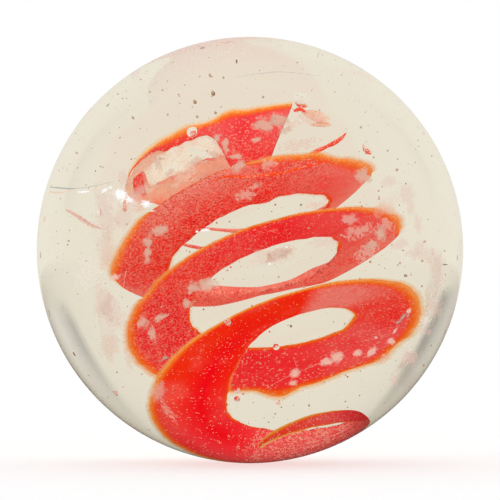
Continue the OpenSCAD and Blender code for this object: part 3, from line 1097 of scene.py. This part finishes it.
# Fine frosting that lies over the blooms.
frosting = [
    (-5.10, -2.20, 0.90, 1.20, 0), (-5.00, 1.70, 0.60, 0.80, 10), (6.70, -2.00, 0.46, 0.90, -14),
    (6.40, -2.60, 0.50, 0.50, 30), (5.90, -0.20, 0.80, 0.50, 20), (-5.90, -0.90, 0.90, 1.10, 0),
    (1.00, -0.20, 0.70, 0.30, 10), (5.80, -3.90, 0.50, 0.50, 10), (-4.30, 1.60, 0.50, 0.50, 0),
]
greyFlakes = [
    (-3.09, -3.92, 0.36, 0.14, 30), (5.55, -2.45, 0.44, 0.12, 50), (5.40, -2.62, 0.30, 0.10, 20),
    (5.75, -2.40, 0.20, 0.10, 70),
]
# Chips with a painted white glint where they catch the light, as small stars.
stars = [
    (-4.66, 1.98, 0.56, 0.44, -30), (-4.34, 1.80, 0.36, 0.22, -25), (-3.74, 1.66, 0.34, 0.30, 0),
    (-6.09, 2.12, 0.46, 0.09, 0), (-5.29, 2.16, 0.26, 0.16, 30), (-5.05, 2.26, 0.16, 0.10, 0),
    (-1.59, 0.72, 0.34, 0.12, 10), (-1.90, 0.66, 0.12, 0.09, 0), (0.70, -0.50, 0.10, 0.08, 0),
    (1.30, 0.10, 0.10, 0.08, 0), (-5.50, 1.36, 0.08, 0.07, 0), (-3.50, 1.40, 0.24, 0.05, 5),
]
# Hair scratches and cracks: width in hairs, then the points in mm across and up.
paleScratches = [
    (1.0, [(0.47, -5.08), (1.10, -4.70), (1.90, -4.33), (2.70, -4.00), (3.58, -3.58)]),
    (0.8, [(1.55, -3.85), (1.70, -4.25)]),
    (1.3, [(-4.44, -0.62), (-4.58, -1.42)]),
    (1.6, [(-0.35, -7.00), (-0.50, -7.30), (-0.42, -7.60)]),
    (1.6, [(0.30, -6.90), (-0.05, -7.25), (-0.20, -7.65)]),
    (1.4, [(0.90, -6.95), (0.45, -7.20), (0.25, -7.60)]),
    (1.2, [(1.60, -7.00), (2.40, -6.90), (3.20, -6.60)]),
    (1.2, [(1.30, -7.25), (2.20, -7.10), (3.20, -6.80), (3.90, -6.40)]),
    (1.0, [(2.00, -7.35), (3.00, -7.05), (3.80, -6.65)]),
    (1.0, [(0.80, -7.50), (1.50, -7.40), (2.40, -7.20)]),
    (4.0, [(-7.45, 2.14), (-7.00, 2.12), (-6.50, 2.16)]),
]
redScratches = [
    (8.0, [(-6.75, 1.48), (-6.30, 1.24), (-5.80, 0.92), (-5.40, 0.78)]),
    (1.8, [(-6.20, 1.24), (-6.02, 1.10), (-5.84, 0.96)]),
    (2.0, [(-5.50, 1.62), (-5.40, 1.40), (-5.44, 1.16)]),
    (1.2, [(-1.10, 7.72), (-0.90, 7.68), (-0.75, 7.74), (-0.60, 7.68)]),
]
cracks = [
    (3.2, [(-7.44, 2.34), (-6.90, 2.27), (-6.36, 2.24)]),
    (1.2, [(-6.60, 2.24), (-6.10, 2.27), (-5.60, 2.34), (-4.97, 2.48)]),
    (0.8, [(-0.50, 6.30), (0.30, 6.42), (1.20, 6.50), (2.60, 6.36)]),
]
# The same kinds of wear go on round the ball, as far up and down as height says, in mm. The
# front's own wear keeps frontHalf degrees free of it each way.
roundSettings = {
    # How many of each, and their least and greatest length in mm.
    "patches": {"chips": (22, 0.10, 0.45), "flakes": (10, 0.3, 0.9), "blooms": (14, 0.7, 1.8)},
    "breadth": (0.4, 0.9),  # as a share of the length
    "scratches": 14,
    "scratchLength": (0.6, 2.4),
    "scratchBend": 0.2,
    "scratchWidth": (0.7, 1.3),  # in hairs
    "height": 6.2,
    "frontHalf": 75,
    "seed": 23,
}


def onSkin(x, z, lift):
    # The point of the ball's front skin that is seen at x across and z up.
    radius = ballRadius + lift
    return Vector((x, -math.sqrt(max(radius * radius - x * x - z * z, 0.0)), z)).normalized() * radius


def patch(spot, ragged, settings, chance):
    # A patch with a ragged rim on the skin. body falls from 1 in its middle to 0 at its rim.
    x, z, length, breadth, turn = spot[:5]
    around = Matrix.Rotation(math.radians(spot[5] if len(spot) > 5 else 0), 4, "Z")
    c, s = math.cos(math.radians(turn)), math.sin(math.radians(turn))
    phase = chance.uniform(0, 100)
    count, rings, lift = settings["rimPoints"], settings["rings"], settings["lift"]
    coarse, fine = settings["rimWaves"]
    vertices = [around @ onSkin(x * mm, z * mm, lift)]
    body = [1.0] + [1 - ring / rings for ring in range(1, rings + 1) for k in range(count)]
    for ring in range(1, rings + 1):
        for k in range(count):
            angle = 2 * math.pi * k / count
            wave = noise.noise(Vector((math.cos(angle) * coarse + phase, math.sin(angle) * coarse, 0)))
            ripple = noise.noise(Vector((math.cos(angle) * fine + phase, math.sin(angle) * fine, 5)))
            wave += settings["fineShare"] * ripple
            reach = max(settings["leastReach"], 1 + ragged * 2 * wave)
            reach *= settings["overlap"] * ring / rings * mm / 2
            u, v = math.cos(angle) * length * reach, math.sin(angle) * breadth * reach
            vertices.append(around @ onSkin(x * mm + u * c - v * s, z * mm + u * s + v * c, lift))
    faces = [(0, 1 + (k + 1) % count, 1 + k) for k in range(count)]
    for ring in range(rings - 1):
        for k in range(count):
            a, b = 1 + ring * count + k, 1 + ring * count + (k + 1) % count
            faces.append((a, b, b + count, a + count))
    return vertices, faces, {"body": body}


def hairStrip(width, points, turn, settings):
    # A thin strip along a bent line on the skin, tapering to both ends.
    last = len(points) - 1
    steps = settings["hairSteps"] * last
    around = Matrix.Rotation(math.radians(turn), 4, "Z")
    least, bluntness = settings["hairTaper"]
    vertices, faces, body = [], [], []
    for i in range(steps + 1):
        t = i * last / steps
        x, z = curveAlong(points, t)
        nextX, nextZ = curveAlong(points, min(t + settings["hairLook"], last))
        backX, backZ = curveAlong(points, max(t - settings["hairLook"], 0))
        along = Vector((nextX - backX, nextZ - backZ)).normalized()
        taper = math.sin(math.pi * (least + (1 - 2 * least) * i / steps)) ** bluntness
        half = settings["hairWidth"] / 2 * width * taper
        for side, full in ((-1, 0.0), (0, settings["hairBody"]), (1, 0.0)):
            offX, offZ = along.y * side * half, along.x * side * half
            vertices.append(around @ onSkin(x * mm - offX, z * mm + offZ, settings["lift"]))
            body.append(full)
    for i in range(steps):
        faces += [(3 * i + j, 3 * i + 3 + j, 3 * i + 4 + j, 3 * i + 1 + j) for j in (0, 1)]
    return vertices, faces, {"body": body}


# How each kind of wear looks: its material's name, colour and strength, the size of the grains it breaks up
# into in mm, how far it breaks up, and how ragged its rim is. The pink and flesh tints are partly painted:
# red light from the ribbon that the dulled glass scatters.
wearKinds = {
    "rubbed_chips": ("rubbed glass chip", "#F0C6B4", 0.88, 0.15, 0.25, 0.07),
    "beige_flakes": ("lifted glass flake", "#DDB8A2", 0.78, 0.20, 0.40, 0.16),
    "faint_rubs": ("faintly rubbed glass", "#E8C2AE", 0.50, 0.14, 0.80, 0.20),
    "bloomed_skin": ("bloomed glass", "#E4C8B8", 0.48, 0.60, 0.40, 0.22),
    "fine_frosting": ("frosted glass", "#F2E8DE", 0.42, 0.12, 0.90, 0.25),
    "grey_flakes": ("fresh glass chip", "#AFACA2", 0.80, 0.10, 0.30, 0.30),
    # White at full strength: a painted glint.
    "painted_glint_chips": ("glass chip with painted glint", "#FFFFFF", 1.00, 0.10, 0.30, 0.15),
    "pale_scratches": ("scratched glass", "#F4C4B4", 0.60, 0.10, 0.35, 0.0),
    # Its red is partly painted light from the ribbon, seen through the scratch.
    "red_scratches": ("scratch with painted red light", "#E08E80", 0.60, 0.12, 0.30, 0.0),
    "cracks": ("open crack", "#9AA3A6", 0.75, 0.12, 0.20, 0.0),
}


def wearMaterial(name, hexColour, strength, grainSize, broken):
    # Glass with its polish gone, which scatters like ground glass and breaks up in grains.
    material = newMaterial(name)
    tree = material.node_tree
    place = addNode(tree, "TexCoord").outputs["Object"]
    painted = addNode(tree, "Attribute", {"attribute_name": "body"}).outputs["Fac"]
    grain = addNode(tree, "TexNoise", {"Scale": 1 / (grainSize * mm), "Detail": 5.0, "Roughness": 0.6},
                    {"Vector": place})
    loose = addNode(tree, "MapRange", {"From Min": 0.3, "From Max": 0.7, "To Min": -broken, "To Max": broken},
                    {"Value": grain})
    body = addNode(tree, "Math", {"operation": "ADD"}, {0: painted, 1: loose})
    alpha = addNode(tree, "MapRange", {"From Min": 0.1, "From Max": 0.6, "To Max": strength}, {"Value": body})
    shader = addNode(tree, "BsdfPrincipled", {"Base Color": linear(hexColour), "Roughness": 0.7,
                                              "Specular IOR Level": 0.1}, {"Alpha": alpha})
    addNode(tree, "OutputMaterial", links={"Surface": shader})
    return material


def roundWear(settings):
    # Wear for the sides and the back, by chance but the same each time.
    chance = random.Random(settings["seed"])

    def place():
        return chance.uniform(-1, 1), chance.uniform(-1, 1) * settings["height"]

    def turn():
        return chance.uniform(settings["frontHalf"], 360 - settings["frontHalf"])

    spots = {"scratches": []}
    for kind, (count, least, most) in settings["patches"].items():
        spots[kind] = []
        for i in range(count):
            length = chance.uniform(least, most)
            middle = place()
            breadth = length * chance.uniform(*settings["breadth"])
            spots[kind].append((*middle, length, breadth, chance.uniform(0, 180), turn()))
    for i in range(settings["scratches"]):
        x, z = place()
        angle = chance.uniform(0, 2 * math.pi)
        length = chance.uniform(*settings["scratchLength"])
        bend = chance.uniform(-settings["scratchBend"], settings["scratchBend"])
        c, s = math.cos(angle) * length / 2, math.sin(angle) * length / 2
        points = [(x - c, z - s), (x - s * bend, z + c * bend), (x + c, z + s)]
        spots["scratches"].append((chance.uniform(*settings["scratchWidth"]), points, turn()))
    return spots


def buildWear(settings):
    chance = random.Random(settings["seed"])
    more = roundWear(roundSettings)
    patches = {"rubbed_chips": chips + more["chips"], "beige_flakes": flakes + more["flakes"],
               "faint_rubs": rubs, "bloomed_skin": blooms + more["blooms"], "fine_frosting": frosting,
               "grey_flakes": greyFlakes, "painted_glint_chips": stars}
    front = {"pale_scratches": paleScratches, "red_scratches": redScratches, "cracks": cracks}
    strips = {name: [(*strip, 0) for strip in kept] for name, kept in front.items()}
    strips["pale_scratches"] += more["scratches"]
    for name, (*look, ragged) in wearKinds.items():
        parts = [patch(spot, ragged, settings, chance) for spot in patches.get(name, [])]
        parts += [hairStrip(*strip, settings) for strip in strips.get(name, [])]
        paintedPiece(name, parts, wearMaterial(*look))


buildWear(skinSettings)
print("wear on the skin built")
